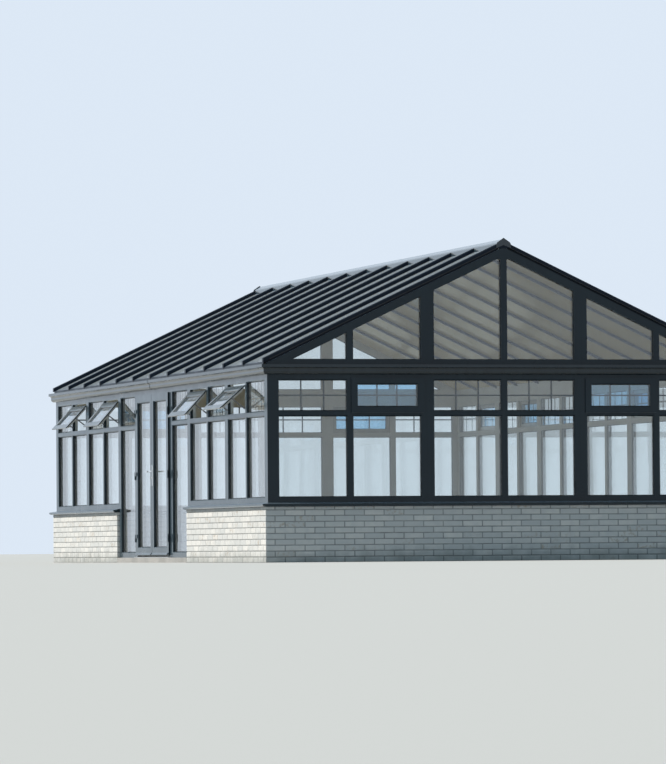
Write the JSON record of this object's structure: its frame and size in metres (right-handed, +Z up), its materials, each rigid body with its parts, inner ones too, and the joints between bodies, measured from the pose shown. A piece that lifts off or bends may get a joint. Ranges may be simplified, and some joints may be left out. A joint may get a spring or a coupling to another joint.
{
  "type": "glazed garden room",
  "caption": "Long glazed room with a pitched panel roof on bars, a glazed gable at each end, brick dwarf walls, open top vents and outward double doors in one side.",
  "frame": {"origin": "middle of the frame footprint at ground level, on the underside of the floor slab", "axes": "+X across the gable front, +Y along the ridge to the back, +Z up; the door wall faces -X"},
  "size_m": [6.1688, 11.512, 3.7693],
  "materials": {
    "brick": "pale grey brick with recessed grey mortar",
    "floor": "trowelled concrete",
    "frame_paint": "satin anthracite grey",
    "roof_bar_paint": "satin anthracite grey",
    "gutter": "smooth anthracite grey",
    "glass": "clear sealed units",
    "roof_panel": "translucent multiwall sheet",
    "handle": "polished",
    "steel": "brushed",
    "board": "smooth grey"
  },
  "bodies": {
    "root": {"back_dwarf_wall": "brick", "back_window_frames": "frame_paint", "corner_posts": "frame_paint", "door_frame_head": "frame_paint", "door_frame_hinges": "frame_paint", "door_frame_jambs": "frame_paint", "door_threshold": "frame_paint", "eaves_beams": "frame_paint", "eaves_gutters": "gutter", "end_beams": "frame_paint", "end_boards": "board", "end_sills": "frame_paint", "end_wall_glass": "glass", "floor_slab": "floor", "frame_couplers": "frame_paint", "front_dwarf_wall": "brick", "front_window_frames": "frame_paint", "gable_fascias": "gutter", "gable_frames": "frame_paint", "gable_glass": "glass", "left_dwarf_wall_front": "brick", "left_dwarf_wall_rear": "brick", "left_window_frames": "frame_paint", "ridge_beam": "roof_bar_paint", "ridge_cap": "roof_bar_paint", "ridge_ends": "roof_bar_paint", "right_dwarf_wall": "brick", "right_window_frames": "frame_paint", "roof_bars_left": "roof_bar_paint", "roof_bars_right": "roof_bar_paint", "roof_panels_left": "roof_panel", "roof_panels_right": "roof_panel", "side_boards": "board", "side_sills": "frame_paint", "side_wall_glass": "glass", "sidelight_frames": "frame_paint", "vent_glass": "glass", "vent_sashes": "frame_paint", "vent_stays": "steel"},
    "door_leaf_left": {"door_leaf_left_frame": "frame_paint", "door_leaf_left_glass": "glass", "door_leaf_left_handles": "handle", "door_leaf_left_hinges": "frame_paint"},
    "door_leaf_right": {"door_leaf_right_frame": "frame_paint", "door_leaf_right_glass": "glass", "door_leaf_right_handles": "handle", "door_leaf_right_hinges": "frame_paint"}
  },
  "joints": [
    {"name": "left_door_hinge", "type": "hinge", "parent": "root", "child": "door_leaf_left", "pos_m": [-2.893, 0.886, 1.0935], "axis": [0, 0, -1], "range_deg": [0, 100]},
    {"name": "right_door_hinge", "type": "hinge", "parent": "root", "child": "door_leaf_right", "pos_m": [-2.893, -0.886, 1.0935], "axis": [0, 0, 1], "range_deg": [0, 100]}
  ]
}
